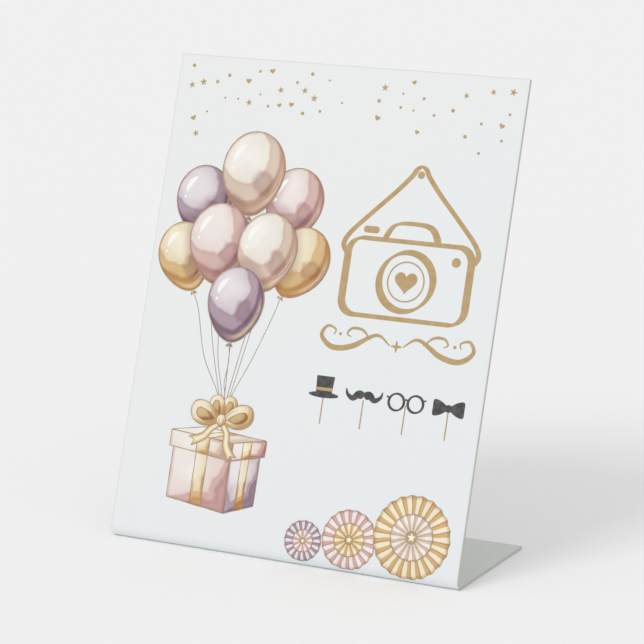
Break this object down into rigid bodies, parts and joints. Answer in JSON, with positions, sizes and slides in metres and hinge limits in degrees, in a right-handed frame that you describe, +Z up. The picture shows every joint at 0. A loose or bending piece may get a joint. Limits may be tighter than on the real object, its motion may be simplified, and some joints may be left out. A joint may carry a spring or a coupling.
{
  "type": "tabletop sign",
  "caption": "Free-standing tabletop sign: a thin white-coated sheet folded into a leaning panel and a flat foot, faced with a printed film.",
  "frame": {"origin": "on the table, below the middle of the sign's outer box", "axes": "+Z up, +X along the width to the viewer's right when the printed face is read, -Y the way the printed face looks"},
  "size_m": [0.2032, 0.083, 0.248],
  "materials": {
    "sheet_coat": "fine satin white powder coat over aluminium sheet, also on the cut edges",
    "film_print": "satin white vinyl film, printed in gold, champagne, blush and mauve-grey"
  },
  "bodies": {
    "root": {"bent_sheet": "sheet_coat", "printed_film": "film_print"}
  },
  "joints": []
}
